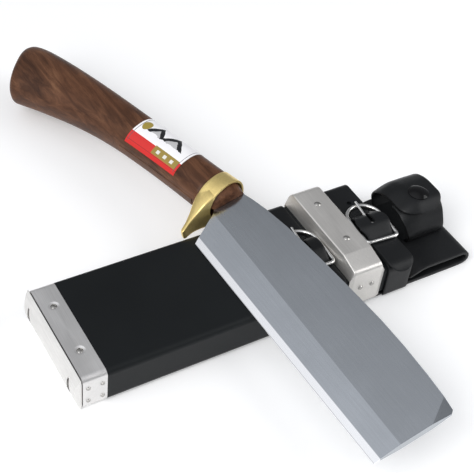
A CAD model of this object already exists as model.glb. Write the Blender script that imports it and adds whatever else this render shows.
import math

import bpy
import bmesh
import numpy as np
from mathutils import Matrix, Vector, noise


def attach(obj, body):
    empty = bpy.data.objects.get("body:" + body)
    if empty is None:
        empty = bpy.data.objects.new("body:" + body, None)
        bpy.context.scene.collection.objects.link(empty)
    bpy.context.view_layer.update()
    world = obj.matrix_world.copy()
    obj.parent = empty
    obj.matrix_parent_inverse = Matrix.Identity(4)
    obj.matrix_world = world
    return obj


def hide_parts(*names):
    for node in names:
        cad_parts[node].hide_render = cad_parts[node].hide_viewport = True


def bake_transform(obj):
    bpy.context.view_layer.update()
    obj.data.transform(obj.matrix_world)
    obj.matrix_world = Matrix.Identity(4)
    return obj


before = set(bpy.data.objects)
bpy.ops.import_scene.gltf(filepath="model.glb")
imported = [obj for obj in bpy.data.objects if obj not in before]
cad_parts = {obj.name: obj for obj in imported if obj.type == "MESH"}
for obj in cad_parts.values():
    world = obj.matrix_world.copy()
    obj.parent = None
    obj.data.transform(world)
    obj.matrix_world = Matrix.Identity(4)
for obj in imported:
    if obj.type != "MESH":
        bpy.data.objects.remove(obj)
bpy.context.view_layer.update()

MM = 0.001
COL = bpy.context.scene.collection

# ---------------------------------------------------------------- sizes, as in part.scad (mm)
HALF_W = 35.0
SHEATH_T = 23.3
EDGE_R = 3.4            # rounding of the sheath's long edges
STOP_X0, STOP_X1, STOP_LEAN, STOP_TOP = 163.6, 187.6, 2.6, 32.3
LEFT_X, RIGHT_X = 152.5, 199.1
STRAP_W, STRAP_T = 17.0, 1.3
STRAP_GAP = 0.12        # between a strap and what it lies round
WIRE_D, BAR_Y, BAR_Z = 2.2, -4.5, 26.8
BAR_PLAY = 1.1          # half the flat length of the strap's loop round the bar
HANGER_T, LOOP_END, LOOP_H = 2.2, 255.5, 10.3
RING_X0, RING_W, RING_T = 222.5, 25.5, 1.5
KNIFE_AT, KNIFE_TURN, KNIFE_LEAN = (98.4, 27.2, 23.9), -87.5, 12.8

KNIFE = (Matrix.Translation(Vector(KNIFE_AT) * MM)
         @ Matrix.Rotation(math.radians(KNIFE_TURN), 4, "Z")
         @ Matrix.Rotation(math.radians(KNIFE_LEAN), 4, "X")
         @ Matrix.Scale(MM, 4))
WORLD_MM = Matrix.Scale(MM, 4)


# ---------------------------------------------------------------- mesh helpers
def new_object(name, verts, faces, place=WORLD_MM, sharp=35.0):
    """A mesh object from points in mm, smooth except at edges sharper than the given angle."""
    me = bpy.data.meshes.new(name)
    me.from_pydata([tuple(place @ Vector(v)) for v in verts], [], faces)
    me.validate()
    bm = bmesh.new()
    bm.from_mesh(me)
    bmesh.ops.recalc_face_normals(bm, faces=bm.faces)
    bm.to_mesh(me)
    bm.free()
    me.shade_smooth()
    if sharp:
        me.set_sharp_from_angle(angle=math.radians(sharp))
    ob = bpy.data.objects.new(name, me)
    COL.objects.link(ob)
    return ob


def apply_modifiers(ob, sharp):
    """Bakes the object's modifiers into its mesh."""
    dg = bpy.context.evaluated_depsgraph_get()
    me = bpy.data.meshes.new_from_object(ob.evaluated_get(dg))
    ob.modifiers.clear()
    ob.data = me
    me.shade_smooth()
    me.set_sharp_from_angle(angle=math.radians(sharp))
    return ob


def combine(ob, tools, operation="DIFFERENCE", sharp=35.0):
    """Boolean of ob with each tool; the tools are removed."""
    for t in tools:
        m = ob.modifiers.new("cut", "BOOLEAN")
        m.operation = operation
        m.object = t
        m.solver = "EXACT"
    apply_modifiers(ob, sharp)
    for t in tools:
        bpy.data.objects.remove(t, do_unlink=True)
    return ob


def bevel(ob, width, segments=2, angle=30.0, sharp=50.0):
    m = ob.modifiers.new("bevel", "BEVEL")
    m.width = width * MM
    m.segments = segments
    m.limit_method = "ANGLE"
    m.angle_limit = math.radians(angle)
    m.harden_normals = False
    return apply_modifiers(ob, sharp)


def tube_faces(n, rows):
    """Faces of a closed tube whose points come in rows of n."""
    faces = [tuple(range(n))[::-1], tuple(range((rows - 1) * n, rows * n))]
    faces += [(i * n + k, i * n + (k + 1) % n, (i + 1) * n + (k + 1) % n, (i + 1) * n + k)
              for i in range(rows - 1) for k in range(n)]
    return faces


def prism(name, outline, z0, z1, place=WORLD_MM):
    """Upright prism from an outline in (x, y)."""
    verts = [(x, y, z0) for x, y in outline] + [(x, y, z1) for x, y in outline]
    return new_object(name, verts, tube_faces(len(outline), 2), place, sharp=30)


def rod(name, at, axis, radius, length, place=WORLD_MM, n=32):
    """Straight rod through a point along an axis."""
    axis = Vector(axis).normalized()
    side = axis.orthogonal().normalized()
    up = axis.cross(side)
    ring = [side * math.cos(2 * math.pi * k / n) * radius + up * math.sin(2 * math.pi * k / n) * radius
            for k in range(n)]
    a, b = Vector(at) - axis * length / 2, Vector(at) + axis * length / 2
    verts = [tuple(a + r) for r in ring] + [tuple(b + r) for r in ring]
    return new_object(name, verts, tube_faces(n, 2), place, sharp=30)


def spline(a, b, c, d, t):
    """Catmull-Rom point between b and c, at the share t of the way."""
    return 0.5 * (2 * b + (c - a) * t + (2 * a - 5 * b + 4 * c - d) * t ** 2
                  + (3 * b - a - 3 * c + d) * t ** 3)


def catmull(points, step):
    """A smooth curve through the points, resampled about every step."""
    p = np.asarray(points, float)
    p = np.vstack([2 * p[0] - p[1], p, 2 * p[-1] - p[-2]])
    dense = []
    for i in range(1, len(p) - 2):
        k = max(2, int(np.linalg.norm(p[i + 1] - p[i]) / step * 3))
        t = np.linspace(0, 1, k, endpoint=False)[:, None]
        dense.append(spline(p[i - 1], p[i], p[i + 1], p[i + 2], t))
    dense = np.vstack(dense + [p[-2][None]])
    return resample(dense, step)


def run_lengths(path):
    """Length run along the path up to each of its points."""
    return np.concatenate([[0], np.cumsum(np.linalg.norm(np.diff(path, axis=0), axis=1))])


def resample(path, step):
    """The same path with its points about a step apart."""
    s = run_lengths(path)
    n = max(3, int(round(s[-1] / step)) + 1)
    t = np.linspace(0, s[-1], n)
    return np.stack([np.interp(t, s, path[:, k]) for k in range(path.shape[1])], 1)


def fillet(corners, step=0.6):
    """Polyline with rounded corners; each corner is (a, b, radius)."""
    pts = [np.array(corners[0][:2], float)]
    for i in range(1, len(corners) - 1):
        p0, p1, p2 = (np.array(c[:2], float) for c in corners[i - 1:i + 2])
        r = corners[i][2]
        u, v = (p0 - p1) / np.linalg.norm(p0 - p1), (p2 - p1) / np.linalg.norm(p2 - p1)
        half = math.acos(max(-1, min(1, float(u @ v)))) / 2
        t = r / math.tan(half)
        centre = p1 + (u + v) / np.linalg.norm(u + v) * r / math.sin(half)
        a, b = p1 + u * t - centre, p1 + v * t - centre
        n = max(4, int(r * (math.pi - 2 * half) / step) + 1)
        for k in range(n + 1):
            w = k / n
            d = a * (1 - w) + b * w
            pts.append(centre + d / np.linalg.norm(d) * r)
    pts.append(np.array(corners[-1][:2], float))
    out = []
    for a, b in zip(pts[:-1], pts[1:]):
        n = max(1, int(np.linalg.norm(b - a) / 3))
        out += [a + (b - a) * k / n for k in range(n)]
    return np.array(out + [pts[-1]])


def section(half_w, half_t, radius, columns):
    """Rounded flat section: points (across, through), counter-clockwise."""
    r = min(radius, half_t * 0.98, half_w * 0.98)

    def corner(x, y, degrees):
        return [(x + r * math.cos(a), y + r * math.sin(a)) for a in np.radians(degrees)]

    pts = []
    xs = np.linspace(-half_w + r, half_w - r, columns)
    pts += [(x, -half_t) for x in xs]
    pts += corner(half_w - r, -half_t + r, (-60, -30, 0))
    pts += corner(half_w - r, half_t - r, (0, 30, 60))
    pts += [(x, half_t) for x in xs[::-1]]
    pts += corner(-half_w + r, half_t - r, (120, 150, 180))
    pts += corner(-half_w + r, -half_t + r, (180, 210, 240))
    return pts


def ribbon(name, path, across, half_w, thick, radius, columns, waviness, seed):
    """A strip of sheet that follows a path.

    half_w is a number, or a function of the length run so far and in all."""
    path = np.asarray(path, float)
    s = run_lengths(path)
    total = s[-1]
    wdir = np.asarray(across, float)
    wdir /= np.linalg.norm(wdir)
    tang = np.gradient(path, axis=0)
    tang -= np.outer(tang @ wdir, wdir)
    tang /= np.linalg.norm(tang, axis=1)[:, None]
    normal = np.cross(tang, wdir)
    width = (lambda a, b: half_w) if not callable(half_w) else half_w
    verts, rings = [], []
    for i, (p, n) in enumerate(zip(path, normal)):
        shrink = max(0.0, 1 - s[i] / radius, 1 - (total - s[i]) / radius)
        inset = radius * (1 - math.sqrt(max(0.0, 1 - shrink ** 2)))
        w = max(0.15, width(s[i], total) - inset)
        ring = []
        for a, b in section(w, thick / 2 - inset * 0.8, radius, columns):
            q = p + wdir * a
            q = q + n * (b + waviness * noise.noise(Vector(q * 0.09 + seed)))
            ring.append(len(verts))
            verts.append(tuple(q))
        rings.append(ring)
    m = len(rings[0])
    faces = [tuple(rings[0][::-1]), tuple(rings[-1])]
    for ra, rb in zip(rings[:-1], rings[1:]):
        faces += [(ra[k], ra[(k + 1) % m], rb[(k + 1) % m], rb[k]) for k in range(m)]
    return new_object(name, verts, faces, sharp=50.0)


# ---------------------------------------------------------------- materials
class Nodes:
    """Short-hand for building a node tree."""

    def __init__(self, name):
        self.mat = bpy.data.materials.new(name)
        self.mat.use_nodes = True
        self.t = self.mat.node_tree
        self.t.nodes.clear()
        self.out = self.t.nodes.new("ShaderNodeOutputMaterial")
        self.bsdf = self.t.nodes.new("ShaderNodeBsdfPrincipled")
        self.t.links.new(self.bsdf.outputs[0], self.out.inputs[0])

    def put(self, socket, value):
        if isinstance(value, bpy.types.NodeSocket):
            self.t.links.new(value, socket)
        elif value is not None:
            socket.default_value = value

    def node(self, kind, inputs=None, **props):
        n = self.t.nodes.new(kind)
        for k, v in props.items():
            setattr(n, k, v)
        for k, v in (inputs or {}).items():
            self.put(n.inputs[k], v)
        return n

    def coords(self, scale=(1, 1, 1), knife=False):
        """Object coordinates; for the knife, turned so that x runs along its edge."""
        c = self.node("ShaderNodeTexCoord").outputs["Object"]
        if knife:
            c = self.node("ShaderNodeVectorRotate", {"Vector": c, "Angle": math.radians(-KNIFE_TURN)},
                          rotation_type="Z_AXIS").outputs[0]
            c = self.node("ShaderNodeVectorRotate", {"Vector": c, "Angle": math.radians(-KNIFE_LEAN)},
                          rotation_type="X_AXIS").outputs[0]
        return self.node("ShaderNodeMapping", {"Vector": c, "Scale": scale}).outputs[0]

    def noise(self, vec, scale, detail=4.0, rough=0.55, distortion=0.0):
        return self.node("ShaderNodeTexNoise", {"Vector": vec, "Scale": scale, "Detail": detail,
                                                "Roughness": rough, "Distortion": distortion}).outputs["Fac"]

    def ramp(self, fac, stops):
        n = self.node("ShaderNodeValToRGB", {"Fac": fac})
        cr = n.color_ramp
        while len(cr.elements) < len(stops):
            cr.elements.new(0.5)
        for e, (p, c) in zip(cr.elements, stops):
            e.position = p
            e.color = (*c, 1)
        return n.outputs["Color"]

    def span(self, value, lo, hi, a, b):
        """Maps lo..hi to a..b."""
        return self.node("ShaderNodeMapRange", {0: value, 1: lo, 2: hi, 3: a, 4: b}).outputs[0]

    def math(self, op, a, b=None):
        return self.node("ShaderNodeMath", {0: a, 1: b}, operation=op).outputs[0]

    def mix(self, fac, a, b):
        n = self.node("ShaderNodeMix", data_type="RGBA")
        self.put(n.inputs[0], fac)
        for i, v in ((6, a), (7, b)):
            self.put(n.inputs[i], (*v, 1) if isinstance(v, tuple) and len(v) == 3 else v)
        return n.outputs[2]

    def bump(self, height, strength, distance):
        return self.node("ShaderNodeBump", {"Height": height, "Strength": strength,
                                            "Distance": distance}).outputs[0]

    def finish(self, **inputs):
        for k, v in inputs.items():
            name = k.replace("_", " ")
            if isinstance(v, tuple) and len(v) == 3:
                v = (*v, 1)
            self.put(self.bsdf.inputs[name], v)
        return self.mat


def leather_material(name, tone=1.0, rough=(0.34, 0.48), grain=1.0):
    n = Nodes(name)
    c = n.coords()
    broad = n.noise(c, 35, 3, 0.5)
    fine = n.noise(c, 900, 6, 0.6)
    cells = n.node("ShaderNodeTexVoronoi", {"Vector": c, "Scale": 1500.0}, feature="F1").outputs["Distance"]
    crease = n.noise(n.coords((1, 1.6, 1)), 160, 5, 0.62, 0.6)
    colour = n.ramp(n.math("ADD", n.math("MULTIPLY", broad, 0.6), n.math("MULTIPLY", fine, 0.4)),
                    [(0.25, tuple(tone * v for v in (0.0044, 0.0050, 0.0056))),
                     (0.75, tuple(tone * v for v in (0.0096, 0.0104, 0.0116)))])
    height = n.math("ADD", n.math("MULTIPLY", cells, 0.5), n.math("MULTIPLY", crease, 0.9))
    bump = n.bump(height, 0.32 * grain, 0.00022)
    return n.finish(Base_Color=colour, Roughness=n.span(broad, 0.3, 0.7, *rough), Normal=bump,
                    Specular_IOR_Level=0.26)


def cover_material(name):
    n = Nodes(name)
    c = n.coords()
    broad = n.noise(c, 14, 3, 0.5)
    fine = n.noise(c, 2200, 3, 0.6)
    cells = n.node("ShaderNodeTexVoronoi", {"Vector": c, "Scale": 1900.0}, feature="F1").outputs["Distance"]
    colour = n.ramp(broad, [(0.3, (0.0058, 0.0070, 0.0078)), (0.7, (0.0078, 0.0094, 0.0104))])
    height = n.math("ADD", n.math("MULTIPLY", cells, 0.7), n.math("MULTIPLY", fine, 0.6))
    bump = n.bump(height, 0.22, 0.00012)
    return n.finish(Base_Color=colour, Roughness=n.span(broad, 0.3, 0.7, 0.36, 0.45), Normal=bump,
                    Specular_IOR_Level=0.20)


def brushed_material(name, colour, rough=(0.24, 0.40), along=(60, 2600, 2600), strength=0.12, metallic=1.0,
                     knife=False, anisotropic=0.4, tint=0.10, strip=None):
    """Metal with fine brush lines; along holds the noise scale on each axis, lowest along the lines.

    strip is the width in mm of a brighter band along the cutting edge."""
    n = Nodes(name)
    lines = n.noise(n.coords(along, knife), 1.0, 4, 0.65)
    cloud = n.noise(n.coords((1, 1, 1), knife), 42, 4, 0.55)
    rub = n.noise(n.coords((1, 1, 1), knife), 240, 5, 0.6)
    dark = tuple(v * (1 - tint) for v in colour)
    light = tuple(min(1.0, v * (1 + tint * 0.6)) for v in colour)
    col = n.mix(n.span(lines, 0.3, 0.7, 0, 1), dark, light)
    col = n.mix(n.span(cloud, 0.35, 0.75, 0.0, 0.35), col, tuple(v * 0.82 for v in colour))
    rough_s = n.math("ADD", n.span(cloud, 0.3, 0.7, *rough), n.span(rub, 0.5, 0.8, 0.0, 0.06))
    if strip:
        heel = (KNIFE.to_3x3().normalized().inverted() @ Vector(KNIFE_AT)) * MM
        across = n.node("ShaderNodeSeparateXYZ", {0: n.coords((1, 1, 1), knife)}).outputs[1]
        honed = n.span(across, heel.y + (strip - 0.25) * MM, heel.y + (strip + 0.25) * MM, 1.0, 0.0)
        col = n.mix(honed, col, (0.95, 0.95, 0.96))
    return n.finish(Base_Color=col, Metallic=metallic, Roughness=rough_s,
                    Normal=n.bump(lines, strength, 0.00005), Anisotropic=anisotropic)


def plain_metal(name, colour, rough):
    n = Nodes(name)
    rub = n.noise(n.coords(), 900, 5, 0.6)
    cloud = n.noise(n.coords(), 120, 3, 0.5)
    col = n.mix(n.span(cloud, 0.35, 0.7, 0, 1), colour, tuple(v * 0.86 for v in colour))
    return n.finish(Base_Color=col, Metallic=1.0, Roughness=n.span(rub, 0.3, 0.7, rough * 0.8, rough * 1.35),
                    Normal=n.bump(rub, 0.05, 0.00004))


def raw_wood(name, tone=1.0):
    n = Nodes(name)
    grain = n.noise(n.coords((40, 420, 900)), 1.0, 6, 0.6, 0.4)
    shades = (0.3, (0.40, 0.26, 0.14)), (0.55, (0.56, 0.40, 0.24)), (0.8, (0.64, 0.49, 0.32))
    col = n.ramp(grain, [(p, tuple(tone * v for v in c)) for p, c in shades])
    return n.finish(Base_Color=col, Roughness=0.7, Normal=n.bump(grain, 0.25, 0.0002))


def walnut(name, light=1.0):
    n = Nodes(name)
    warp = n.noise(n.coords((1, 1, 1), True), 26, 3, 0.5)
    bands = n.noise(n.coords((22, 190, 230), True), 1.0, 7, 0.66, 0.9)
    wide = n.noise(n.coords((26, 60, 70), True), 1.0, 4, 0.6, 0.5)
    pores = n.noise(n.coords((130, 2600, 2600), True), 1.0, 3, 0.6)
    col = n.ramp(n.math("ADD", n.math("MULTIPLY", bands, 0.65), n.math("MULTIPLY", wide, 0.35)),
                 [(0.32, (0.016, 0.0062, 0.0034)), (0.45, (0.060, 0.0245, 0.0120)),
                  (0.55, (0.116, 0.050, 0.0250)), (0.68, (0.205, 0.098, 0.050))])
    col = n.mix(n.span(pores, 0.58, 0.70, 0, 0.55), col, (0.022, 0.010, 0.006))
    col = n.mix(n.span(warp, 0.35, 0.7, 0.0, 0.28), col, (0.150 * light, 0.060 * light, 0.028 * light))
    height = n.math("ADD", n.math("MULTIPLY", bands, 0.3), n.span(pores, 0.5, 0.7, 0, -0.7))
    return n.finish(Base_Color=col, Roughness=n.span(bands, 0.3, 0.7, 0.36, 0.5),
                    Normal=n.bump(height, 0.3, 0.00014), Specular_IOR_Level=0.22)


def label_material(name):
    """Printed paper: plain white field, red band, gold box, and a made-up ink landscape."""
    n = Nodes(name)
    uv = n.node("ShaderNodeUVMap").outputs[0]
    xyz = n.node("ShaderNodeSeparateXYZ", {0: uv})
    a, b = xyz.outputs[0], xyz.outputs[1]
    ink = n.noise(n.node("ShaderNodeMapping", {"Vector": uv, "Scale": (9, 6, 1)}).outputs[0], 1.0, 4, 0.6)

    def box_mask(a0, a1, b0, b1):
        m = None
        for v, lo, hi in ((a, a0, a1), (b, b0, b1)):
            for part in (n.math("GREATER_THAN", v, lo), n.math("LESS_THAN", v, hi)):
                m = part if m is None else n.math("MULTIPLY", m, part)
        return m

    def peak(centre, half, height):
        d = n.math("ABSOLUTE", n.math("SUBTRACT", a, centre))
        slope = n.math("SUBTRACT", 1.0, n.math("DIVIDE", d, half))
        return n.math("MULTIPLY", n.math("MAXIMUM", slope, 0.0), height)

    paper = (0.96, 0.95, 0.96)
    col = n.mix(n.span(ink, 0.4, 0.8, 0, 0.25), paper, (0.76, 0.75, 0.80))
    ridge = n.math("MAXIMUM", peak(0.30, 0.17, 0.24), peak(0.62, 0.24, 0.26))
    ridge = n.math("ADD", ridge, n.math("MULTIPLY", n.math("SUBTRACT", ink, 0.5), 0.08))
    foot = n.math("ADD", 0.66, n.math("MULTIPLY", n.math("SUBTRACT", ink, 0.5), 0.10))
    hill = n.math("MULTIPLY", n.math("GREATER_THAN", b, n.math("SUBTRACT", 0.68, ridge)),
                  n.math("LESS_THAN", b, foot))
    inside = n.math("MULTIPLY", n.math("GREATER_THAN", b, n.math("SUBTRACT", 0.78, ridge)), hill)
    col = n.mix(n.math("SUBTRACT", hill, n.math("MULTIPLY", inside, 0.55)), col, (0.012, 0.012, 0.014))
    red = n.math("GREATER_THAN", b, 0.77)
    col = n.mix(red, col, (0.66, 0.022, 0.018))
    col = n.mix(box_mask(0.0, 1.0, 0.915, 0.922), col, (0.25, 0.01, 0.01))
    gold = box_mask(0.46, 0.96, 0.755, 0.905)
    col = n.mix(gold, col, (0.33, 0.235, 0.045))
    for a0, a1 in ((0.53, 0.59), (0.67, 0.73), (0.81, 0.87)):
        col = n.mix(box_mask(a0, a1, 0.80, 0.86), col, (0.78, 0.76, 0.70))
    da = n.math("MULTIPLY", n.math("SUBTRACT", a, 0.10), 1.35)
    db = n.math("SUBTRACT", b, 0.60)
    dist = n.math("SQRT", n.math("ADD", n.math("MULTIPLY", da, da), n.math("MULTIPLY", db, db)))
    disc = n.math("LESS_THAN", dist, 0.085)
    col = n.mix(disc, col, (0.36, 0.27, 0.05))
    for lo, hi in ((0.028, 0.036), (0.955, 0.963)):
        col = n.mix(box_mask(lo, hi, 0.0, 0.95), col, (0.10, 0.09, 0.10))
    return n.finish(Base_Color=col, Roughness=0.32, Specular_IOR_Level=0.5,
                    Normal=n.bump(ink, 0.05, 0.0001))


def enamel_material(name):
    n = Nodes(name)
    return n.finish(
        Base_Color=(0.0045, 0.0045, 0.005), Specular_IOR_Level=0.20, Coat_Weight=0.05, Coat_Roughness=0.05,
        Roughness=n.span(n.noise(n.coords(), 500, 4), 0.3, 0.7, 0.12, 0.20),
        Normal=n.bump(n.noise(n.coords(), 900, 4), 0.08, 0.00006))


M = {
    "cover": cover_material("sheath_cover_vinyl"),
    "leather": leather_material("strap_leather"),
    "leather_soft": leather_material("hanger_leather", 1.1, (0.40, 0.55), 1.3),
    "raw_wood": raw_wood("raw_board"),
    "nailed_wood": raw_wood("nailed_board", 0.12),
    "sheet": brushed_material("brushed_sheet", (0.74, 0.72, 0.69), (0.36, 0.46), (2400, 40, 2400),
                              0.14, 0.78),
    "band": brushed_material("band_sheet", (0.80, 0.79, 0.78), (0.28, 0.40), (2400, 46, 2400), 0.16, 0.82),
    "cap": brushed_material("cap_sheet", (0.80, 0.79, 0.77), (0.30, 0.42), (1500, 60, 1500), 0.10, 0.85),
    "nails": plain_metal("nail_heads", (0.46, 0.45, 0.43), 0.28),
    "wire": plain_metal("buckle_nickel", (0.84, 0.83, 0.81), 0.18),
    "enamel": enamel_material("black_enamel"),
    "snap": plain_metal("snap_plate", (0.32, 0.31, 0.30), 0.3),
    "blade": brushed_material("blade_steel", (0.45, 0.475, 0.505), (0.16, 0.22), (30, 1400, 1400), 0.05,
                              knife=True, anisotropic=0.3, tint=0.05, strip=4.0),
    "walnut": walnut("handle_walnut"),
    "walnut_light": walnut("filler_walnut", 1.5),
    "pin": plain_metal("pin_steel", (0.42, 0.41, 0.40), 0.3),
    "brass": brushed_material("guard_brass", (0.95, 0.74, 0.30), (0.28, 0.40), (700, 900, 60), 0.10, 0.84,
                              knife=True),
    "label": label_material("printed_label"),
}

def dress(ob, key, body, replaced):
    """Gives a new piece its material, slot and body, and names the CAD pieces it stands for."""
    ob.data.materials.clear()
    ob.data.materials.append(M[key])
    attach(ob, body)
    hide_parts(*replaced)


# CAD pieces that keep their shape and only get a material
KEPT = {
    "cover": ["sheath_cover"],
    "raw_wood": ["lower_board", "edge_rail", "back_rail"],
    "nailed_wood": ["upper_board", "end_plug", "stop_block"],
    "band": ["end_band"],
    "cap": ["end_cap"],
    "nails": ["band_nails", "edge_tacks", "back_tacks", "stop_rivets", "stop_nails_edge", "stop_nails_back"],
    "wire": ["buckle_left", "buckle_right", "prong_left", "prong_right"],
    "enamel": ["snap_cap"],
    "snap": ["snap_socket", "snap_stud"],
    "blade": ["blade"],
    "pin": ["tang_pin"],
}
for key, names in KEPT.items():
    for node_name in names:
        for slot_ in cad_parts[node_name].material_slots:
            slot_.material = M[key]


# ---------------------------------------------------------------- stop sheet
def stop_piece():
    """Bent sheet over the stop: its ridge line in (y, z), with both flanks sloping down to the sheath."""
    side, foot, gap = HALF_W + 0.9, 2.6, 0.06
    path = fillet([(-side, foot), (-side, 29.1, 3.6), (-22.5, STOP_TOP, 2.2), (side, STOP_TOP, 5.6),
                   (side, foot)])
    verts = []
    for y, z in path:
        by, bz = max(-HALF_W - gap, min(HALF_W + gap, y)), min(z, SHEATH_T + gap)
        deep = math.hypot(y - by, z - bz)
        r = min(1.0, deep * 0.7)
        ang = math.atan2(deep, STOP_LEAN)
        t = r * math.tan(ang / 2)
        left = [(0.0, 0.0)]
        for k in range(7):
            a = ang * (1 - k / 6)
            left.append((STOP_LEAN + t - r * math.sin(a), deep - r + r * math.cos(a)))
        flat = STOP_X1 - STOP_X0 - 2 * STOP_LEAN - 2 * t
        mid = [(STOP_LEAN + t + flat * k / 8, deep) for k in range(1, 8)]
        prof = ([(STOP_X0 + a, b) for a, b in left] + [(STOP_X0 + a, b) for a, b in mid]
                + [(STOP_X1 - a, b) for a, b in left[::-1]])
        m = len(prof)
        uy, uz = ((y - by) / deep, (z - bz) / deep)
        verts += [(x, by + uy * d, bz + uz * d) for x, d in prof]
    rows = len(verts) // m
    faces = [(i * m + k, i * m + k + 1, (i + 1) * m + k + 1, (i + 1) * m + k)
             for i in range(rows - 1) for k in range(m - 1)]
    ob = new_object("stop_sheet", verts, faces, sharp=None)
    s = ob.modifiers.new("thick", "SOLIDIFY")
    s.thickness = 0.8 * MM
    s.offset = -1
    s.use_even_offset = False
    return apply_modifiers(ob, 60)


dress(stop_piece(), "sheet", "sheath", ("stop_cover", "stop_flank_left", "stop_flank_right"))

# ---------------------------------------------------------------- hanger leather and belt loop
HANGER_Y, HANGER_HALF = -3.0, 31.5
SLITS_Y, SLIT_HALF = (-11.2, 22.2), 1.0
loop_path = [(141.0, 1.1), (180, 1.1), (215, 1.1), (240, 1.1), (LOOP_END - 6.5, 1.15), (LOOP_END - 3.0, 1.75),
             (LOOP_END - 1.25, 3.4), (LOOP_END - 1.1, 5.2), (LOOP_END - 1.9, 7.3), (LOOP_END - 4.6, 8.9),
             (246, LOOP_H - 1.1), (232, LOOP_H - 1.1), (221.6, LOOP_H - 1.25), (215.5, LOOP_H - 3.1),
             (210.6, LOOP_H - 5.1)]
loop3 = [(x, HANGER_Y, z) for x, z in catmull(loop_path, 0.8)]
hanger = ribbon("belt_hanger", loop3, (0, -1, 0), HANGER_HALF, HANGER_T, 0.5, 40, 0.25, 3.0)
slit_x0, slit_x1 = RING_X0 - 0.3, RING_X0 + RING_W + 0.3
slits = [prism("slit", [(slit_x0, y - SLIT_HALF), (slit_x1, y - SLIT_HALF),
                        (slit_x1, y + SLIT_HALF), (slit_x0, y + SLIT_HALF)], 5.4, 13)
         for y in SLITS_Y]
combine(hanger, slits, sharp=50)
dress(hanger, "leather_soft", "sheath", ("belt_loop",))


# ---------------------------------------------------------------- buckle straps
def tip_width(half, tip):
    """Half width with a rounded far end of the given length, and straight before it."""
    def f(s, total):
        d = total - s
        if d >= tip:
            return half
        u = 1 - d / tip
        return half * math.sqrt(max(0.0, 1 - u ** 2.3))
    return f


def hump_width(half, s_mid, spread, extra):
    """Half width with a gentle bulge round s_mid, and a rounded far end."""
    plain = tip_width(half, 9.5)
    return lambda s, total: plain(s, total) + extra * math.exp(-((s - s_mid) / spread) ** 4)


def strap_pair(side, x, shift, off, turn, bulge):
    """Both straps of one buckle, centred on x.

    shift and off move the buckle along and across the strap, turn is its turn in degrees, and bulge is
    how much wider the tongue strap gets on each side over the buckle."""
    by, bz = BAR_Y + shift, BAR_Z
    z_lie = SHEATH_T + 0.1 + STRAP_T / 2
    z_tail = z_lie + STRAP_T + 0.08
    r = WIRE_D / 2 + STRAP_GAP + STRAP_T / 2
    e = HALF_W - EDGE_R
    R = EDGE_R + STRAP_GAP + STRAP_T / 2
    y_side = HALF_W + STRAP_GAP + STRAP_T / 2
    corner = [(R * math.cos(a), R * math.sin(a)) for a in np.radians(np.arange(0, 91, 11.25))]
    near = [(-34.7, 0.95), (-35.35, 1.25), (-y_side, 2.3), (-y_side, 5), (-y_side, 12), (-y_side, 18)]
    near += [(-e - a, SHEATH_T - EDGE_R + b) for a, b in corner]
    near += [(-24, z_lie), (by - 11, z_lie), (by - 5.5, z_lie + 0.3), (by - BAR_PLAY, bz - r)]
    near += [(by + BAR_PLAY + r * math.cos(a), bz + r * math.sin(a))
             for a in np.radians(np.arange(-78.75, 79, 22.5))]
    near += [(by - BAR_PLAY, bz + r), (by - 2.5, bz + 1.6), (by - 4.9, z_lie + 2.75), (by - 6.4, z_lie + 2.1)]
    p = catmull(near, 0.7)
    ob = ribbon("strap_buckle_end_" + side, [(x, a, b) for a, b in p], (1, 0, 0), STRAP_W / 2, STRAP_T, 0.42,
                12, 0.10, 7.0 + x)
    cut = prism("cut", [(x + off - 1.8, by - 3.2), (x + off + 1.8, by - 3.2),
                        (x + off + 1.8, by + 7.8), (x + off - 1.8, by + 7.8)], bz - 4, bz + 8)
    combine(ob, [cut], sharp=50)
    dress(ob, "leather", "sheath", ("near_strap_" + side,))

    far = [(28.7, 1.1), (33.4, 1.15), (35.2, 1.7), (y_side, 3.2), (y_side, 8), (y_side, 14), (y_side, 18)]
    far += [(e + a, SHEATH_T - EDGE_R + b) for a, b in corner]
    far += [(26, z_lie), (by + 22, z_lie), (by + 19, z_lie), (by + 15, z_lie + 0.02),
            (by + 12.5, z_lie + 0.2), (by + 11.3, z_lie + 0.55), (by + 10, 25.65), (by + 8.5, 27.2),
            (by + 7, 28.5), (by + 5, 29.65), (by + 3, 30.1), (by + 0.7, 30.2)]
    far += [(by - 0.1, 30.15), (by - 1.7, 30.05), (by - 3.2, 29.55), (by - 5, 28.65), (by - 7.4, 27.35),
            (by - 9.6, z_tail + 0.65), (by - 11.6, z_tail + 0.1), (by - 13.6, z_tail),
            (by - 18, z_tail + 0.1), (-HALF_W + 5, z_tail + 0.15), (-HALF_W + 1.6, z_tail),
            (-HALF_W - 1.0, z_tail - 0.75), (-HALF_W - 3.2, z_tail - 2.4), (-HALF_W - 4.7, z_tail - 4.2)]
    p = catmull(far, 0.7)
    # length run where the strap passes over the buckle; points low down the sheath's side don't count
    s_mid = float(run_lengths(p)[np.argmin(np.abs(p[:, 0] - by + 0.4) + (p[:, 1] < 20) * 99)])
    ob = ribbon("strap_tongue_" + side, [(x, a, b) for a, b in p], (-1, 0, 0),
                hump_width(STRAP_W / 2, s_mid, 5.2, bulge), STRAP_T, 0.42, 12, 0.12, 1.0 + x)
    turn = math.radians(turn)
    slot_pts = [(x + off + a * math.cos(turn) - b * math.sin(turn),
                 by + a * math.sin(turn) + b * math.cos(turn))
                for a, b in ((-1.5, -1.6), (1.5, -1.6), (1.5, 10.8), (-1.5, 10.8))]
    tools = [prism("slot", slot_pts, 24, 33), rod("hole", (x, by + 23.3, 24), (0, 0, 1), 1.5, 6)]
    combine(ob, tools, sharp=50)
    dress(ob, "leather", "sheath", ("tongue_strap_" + side,))


strap_pair("left", LEFT_X, -3.0, -0.3, -3.0, 0.3)
strap_pair("right", RIGHT_X, 0.0, 0.0, -4.0, 1.9)

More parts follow.
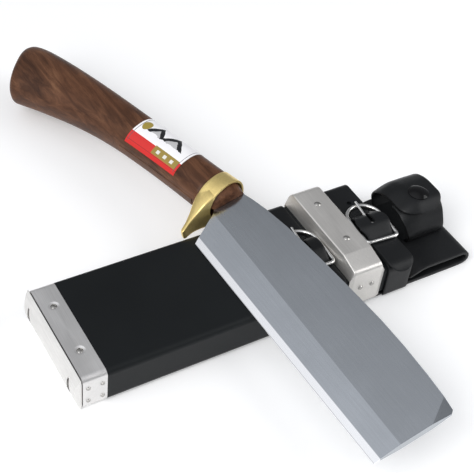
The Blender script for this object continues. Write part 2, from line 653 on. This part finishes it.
# ---------------------------------------------------------------- handle strap and flap
ring_mid = RING_X0 + RING_W / 2
DROOP_DOWN, DROOP_OUT = 4.6, 3.0


def droop(ob):
    """Lets the handle strap's side nearest the stop sag and reach out, as worn leather does."""
    for v in ob.data.vertices:
        x, z = v.co.x / MM, v.co.z / MM
        side = min(1.0, max(0.0, (ring_mid - 5.0 - x) / 7.75))
        high = min(1.0, max(0.0, (z - 14.0) / 16.0))
        v.co.z -= DROOP_DOWN * side ** 1.6 * high * MM
        v.co.x -= DROOP_OUT * side ** 1.3 * high * MM


under = [(17.0, 7.15), (5, 7.15), (-8.2, 7.15), (-10.1, 7.45), (-11.2, 8.9), (-12.4, 11.2), (-13.6, 14.2),
         (-13.5, 17.6), (-12.0, 21.5), (-9.6, 26.4), (-5.6, 30.2), (-0.6, 31.35), (3.8, 31.4)]
ob = ribbon("handle_strap_near", [(ring_mid, a, b) for a, b in catmull(under, 0.7)], (-1, 0, 0), RING_W / 2,
            RING_T, 0.45, 16, 0.18, 11.0)
droop(ob)
dress(ob, "leather", "sheath", ("handle_strap_under",))
over = [(17.1, 7.15), (19.2, 7.15), (21.1, 7.45), (22.2, 8.9), (23.8, 11.6), (25.1, 14.8), (24.9, 19.0),
        (23.4, 23.8), (20.8, 28.3), (17.0, 31.6), (12.7, 33.4), (9.5, 34.2), (6, 34.5), (0, 34.55),
        (-4.6, 34.4), (-7.4, 33.2), (-9.8, 31.1), (-11.5, 29.2)]
ob = ribbon("handle_strap_flap", [(ring_mid, a, b) for a, b in catmull(over, 0.7)], (1, 0, 0),
            tip_width(RING_W / 2, 12.2), RING_T, 0.45, 16, 0.15, 5.0)
combine(ob, [rod("hole", (ring_mid, 0.5, 34), (0, 0, 1), 2.1, 6)], sharp=50)
droop(ob)
ob.data.materials.append(M["leather"])
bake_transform(ob)
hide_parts("handle_strap_back", "flap")

# ---------------------------------------------------------------- handle
# cross-sections: x and y of the middle, tilt in degrees, height, thickness
STATIONS = [
    (-12.7, 31.4, 0, 19.6, 15.4), (-13.3, 31.4, 0, 21.4, 17.4), (-15.2, 31.1, 4, 22.6, 19.0),
    (-18.0, 30.7, 12.5, 25.4, 21.8), (-26.9, 28.8, 12.5, 25.4, 21.8), (-27.6, 28.6, 12.5, 26.6, 23.2),
    (-29.4, 28.3, 12.3, 27.2, 24.0), (-45, 25.3, 11.4, 26.9, 23.9), (-62, 22.0, 11.2, 27.1, 23.6),
    (-80, 18.3, 11.9, 27.6, 23.5), (-100, 13.9, 13.4, 28.6, 23.6), (-120, 8.8, 15.8, 30.6, 24.0),
    (-140, 2.8, 19.4, 33.8, 25.0), (-158, -3.4, 24.8, 37.6, 26.4), (-172, -8.6, 30.6, 40.8, 27.6),
    (-182, -12.8, 35.6, 43.4, 28.0), (-188.4, -16.2, 40, 44.4, 27.4), (-190.8, -18.3, 43, 42.6, 26.0),
    (-192.0, -19.8, 45, 39.0, 23.4), (-192.2, -20.6, 46, 34.0, 19.6)]
SMOOTH_FROM = 6         # the stations before this one are a turned step and stay as they are
RING = 88               # points round the handle


def spow(v, e):
    """Power that keeps the sign, for rounded-square sections."""
    return math.copysign(abs(v) ** e, v)


def station_rows(per=5):
    rows = [STATIONS[i] for i in range(SMOOTH_FROM)]
    st = np.array(STATIONS, float)
    for i in range(SMOOTH_FROM, len(st) - 1):
        a, b, c = st[max(i - 1, SMOOTH_FROM)], st[i], st[i + 1]
        d = st[min(i + 2, len(st) - 1)]
        for k in range(per):
            rows.append(tuple(spline(a, b, c, d, k / per)))
    rows.append(tuple(st[-1]))
    return rows


def handle_ring(s, g, ks=range(RING)):
    """Points round the handle at station s, g outside its surface."""
    out = []
    for k in ks:
        a = 2 * math.pi * k / RING
        u, v = spow(math.cos(a), 0.86) * (s[3] / 2 + g), spow(math.sin(a), 0.86) * (s[4] / 2 + g)
        t = math.radians(s[2])
        out.append((s[0] - math.sin(t) * u, s[1] + math.cos(t) * u, v))
    return out


def handle_loft(name, g):
    rows = [handle_ring(s, g) for s in station_rows()]
    verts = [v for r in rows for v in r]
    # butt face closed with shrinking rings
    last = np.array(rows[-1])
    mid = last.mean(0)
    for f in (0.8, 0.45):
        verts += [tuple(mid + (p - mid) * f + np.array([-0.18 * (1 - f), 0, 0])) for p in last]
    return new_object(name, verts, tube_faces(RING, len(rows) + 2), KNIFE, 40)


slot_half = 5.7 / 2
handle = handle_loft("handle_wood", 0.0)
slot_tool = prism("slot", [(-10, 19), (-10, 42.4), (-12, 41.8), (-40, 35.0), (-62, 29.6), (-93, 21),
                           (-93, -20), (-28, 8), (-28, 19)], -slot_half, slot_half, KNIFE)
pin_hole = rod("pin", (-72, 22.2, 0), (0, 0, 1), 2.56, 60, KNIFE, 40)
combine(handle, [slot_tool, pin_hole], sharp=38)
dress(handle, "walnut", "knife", ("handle",))

filler = handle_loft("handle_filler", 0.22)
fill_tool = prism("fill", [(-28.5, 23.6), (-40, 23.0), (-60, 19.2), (-90, 12.2), (-92.9, 13), (-92.9, -20),
                           (-28.5, 6)], -slot_half + 0.06, slot_half - 0.06, KNIFE)
combine(filler, [fill_tool], "INTERSECT", sharp=38)
dress(filler, "walnut_light", "knife", ("slot_filler",))

# ---------------------------------------------------------------- brass collar and finger guard
TURN_COLLAR = math.radians(12.5)


def collar_ring(name, h, w, rear, length):
    """Oval rod square to the handle; rear is the middle of its back end in (x, y)."""
    n, rows = 96, 9
    c, s = math.cos(TURN_COLLAR), math.sin(TURN_COLLAR)
    verts = []
    for d in np.linspace(0, length, rows):
        for k in range(n):
            a = 2 * math.pi * k / n
            u, v = spow(math.cos(a), 0.88) * h / 2, spow(math.sin(a), 0.88) * w / 2
            verts.append((rear[0] + d * c - u * s, rear[1] + d * s + u * c, v))
    return new_object(name, verts, tube_faces(n, rows), KNIFE, 40)


def guard_claw(name):
    """Finger guard: narrows from the collar to a blunt tip, flat in front, rounded behind."""
    rows = [  # y, rear x, front x, half thickness
        (23.5, -26.6, -14.2, 11.6), (20.5, -26.2, -13.6, 11.0), (17.5, -25.3, -13.3, 10.3),
        (15, -23.9, -13.1, 9.4), (12.5, -22.1, -12.8, 8.2), (10, -20.1, -12.5, 7.1), (7.5, -17.9, -12.2, 6.2),
        (5, -16.1, -11.6, 5.3), (3, -14.6, -11.0, 4.7), (1, -13.4, -10.2, 4.2), (-0.6, -12.6, -9.5, 3.8),
        (-1.6, -12.1, -9.2, 3.4), (-2.3, -11.6, -9.3, 2.9), (-2.6, -11.2, -9.7, 2.2)]
    verts, n = [], 40
    for y, rear, front, half in rows:
        deep = front - rear
        ring = []
        for k in range(n):
            a = 2 * math.pi * k / n
            u, v = spow(math.cos(a), 0.24), spow(math.sin(a), 0.24)
            x = (front + rear) / 2 + u * deep / 2
            w = half * (1 - 0.16 * max(0, -u))
            ring.append((x, y, v * w))
        verts += ring
    m = len(rows)
    faces = [tuple(range(n)), tuple(range((m - 1) * n, m * n))[::-1]]
    faces += [(i * n + k, (i + 1) * n + k, (i + 1) * n + (k + 1) % n, i * n + (k + 1) % n)
              for i in range(m - 1) for k in range(n)]
    return new_object(name, verts, faces, KNIFE, 40)


collar = collar_ring("collar_guard_brass", 28.6, 25.2, (-26.75, 28.88), 10.7)
combine(collar, [guard_claw("claw")], "UNION", sharp=35)
combine(collar, [collar_ring("bore", 26.1, 22.5, (-29.35, 28.31), 23.3)], sharp=35)
bevel(collar, 0.28, 2, 38, 45)
dress(collar, "brass", "knife", ("collar_guard",))


# ---------------------------------------------------------------- label
LABEL_X = (-49.5, -92.0)        # its two ends along the handle
LABEL_ARC = (-0.075, 0.40)      # from and to, as shares of the way round


def label_patch():
    """A thin sheet that follows the handle; u runs along the handle and v round it."""
    rows = station_rows()
    first, last = (min(range(len(rows)), key=lambda i: abs(rows[i][0] - x)) for x in LABEL_X)
    cols = np.linspace(*LABEL_ARC, 41) * RING
    picked = rows[first:last + 1]
    inner, outer = [], []
    for s in picked:
        outer.append(handle_ring(s, 0.16, cols))
        inner.append(handle_ring(s, 0.03, cols))
    nr, nc = len(picked), len(cols)
    verts = [v for r in outer for v in r] + [v for r in inner for v in r]
    m = nr * nc
    faces = []
    for i in range(nr - 1):
        for k in range(nc - 1):
            q = (i * nc + k, i * nc + k + 1, (i + 1) * nc + k + 1, (i + 1) * nc + k)
            faces += [q, tuple(m + v for v in q[::-1])]
    rim = (list(range(nc)) + [r * nc + nc - 1 for r in range(1, nr)]
           + [(nr - 1) * nc + k for k in range(nc - 2, -1, -1)] + [r * nc for r in range(nr - 2, 0, -1)])
    faces += [(a, m + a, m + b, b) for a, b in zip(rim, rim[1:] + rim[:1])]
    ob = new_object("paper_label", verts, faces, KNIFE, 60)
    uv = ob.data.uv_layers.new(name="UVMap")
    for loop in ob.data.loops:
        v = loop.vertex_index % m
        uv.data[loop.index].uv = (1 - (v // nc) / (nr - 1), (v % nc) / (nc - 1))
    return ob


dress(label_patch(), "label", "knife", ("label",))

# ---------------------------------------------------------------- floor, lights, camera
bpy.ops.mesh.primitive_plane_add(size=8, location=(0.1, 0.1, -0.0004))
floor = bpy.context.object
floor.name = "studio_floor"
fl = Nodes("studio_paper")
paper_tone = fl.ramp(fl.noise(fl.coords(), 3, 2), [(0.3, (0.90, 0.90, 0.90)), (0.7, (0.92, 0.92, 0.92))])
fl.finish(Emission_Color=(1.0, 1.0, 1.0), Emission_Strength=0.16, Base_Color=paper_tone, Roughness=0.9,
          Specular_IOR_Level=0.1)
floor.data.materials.append(fl.mat)

scene = bpy.context.scene
scene.view_settings.view_transform = "Standard"
world = bpy.data.worlds.new("studio")
scene.world = world
world.use_nodes = True
wn = world.node_tree
bg = wn.nodes["Background"]
# the sky brightens upwards and to the left, from SKY_BELOW under its base strength to SKY_ABOVE over it
SKY_BASE, SKY_LEFT, SKY_UP, SKY_MID = 0.54, 1.1, 1.75, 0.80
SKY_BELOW, SKY_ABOVE = 0.26, 0.46
way = wn.nodes.new("ShaderNodeTexCoord").outputs["Generated"]
tilt = wn.nodes.new("ShaderNodeVectorMath")
tilt.operation = "DOT_PRODUCT"
wn.links.new(way, tilt.inputs[0])
tilt.inputs[1].default_value = (-SKY_LEFT, 0.0, SKY_UP)
sky = wn.nodes.new("ShaderNodeMapRange")
sky.clamp = True
wn.links.new(tilt.outputs["Value"], sky.inputs[0])
sky.inputs[1].default_value = SKY_MID * SKY_UP - SKY_BELOW
sky.inputs[2].default_value = SKY_MID * SKY_UP + SKY_ABOVE
sky.inputs[3].default_value = SKY_BASE - SKY_BELOW
sky.inputs[4].default_value = SKY_BASE + SKY_ABOVE
bg.inputs[0].default_value = (0.94, 0.96, 1.0, 1)
wn.links.new(sky.outputs[0], bg.inputs[1])


def soft_light(name, at, target, size, power, colour=(1, 1, 1)):
    lamp = bpy.data.lights.new(name, "AREA")
    lamp.shape = "RECTANGLE"
    lamp.size, lamp.size_y = size
    lamp.energy = power
    lamp.color = colour
    ob = bpy.data.objects.new(name, lamp)
    ob.location = at
    ob.rotation_euler = (Vector(target) - Vector(at)).to_track_quat("-Z", "Y").to_euler()
    COL.objects.link(ob)


MIDDLE = (0.12, 0.0, 0.02)
soft_light("key", (-0.95, -0.40, 1.00), MIDDLE, (1.0, 1.0), 12.0, (1.0, 0.99, 0.98))
soft_light("right", (1.15, -0.55, 0.80), MIDDLE, (0.9, 0.9), 7.5)

# camera found from the sheath's edges in the photo
LENS = 85.24
CAMERA_AT = (-0.14419, -0.35603, 0.47390)
CAMERA_LOOK = (0.41411, 0.58603, -0.69647)
CAMERA_ROLL = 7.67      # degrees
cam_data = bpy.data.cameras.new("camera")
cam_data.sensor_width = 36.0
cam_data.lens = LENS
cam_data.clip_start = 0.01
camera = bpy.data.objects.new("camera", cam_data)
forward = Vector(CAMERA_LOOK).normalized()
right = forward.cross(Vector((0, 0, 1))).normalized()
up = right.cross(forward)
roll = math.radians(CAMERA_ROLL)
x_axis = right * math.cos(roll) + up * math.sin(roll)
y_axis = up * math.cos(roll) - right * math.sin(roll)
camera.matrix_world = Matrix.Translation(Vector(CAMERA_AT)) @ Matrix(
    (x_axis, y_axis, -forward)).transposed().to_4x4()
COL.objects.link(camera)
scene.camera = camera
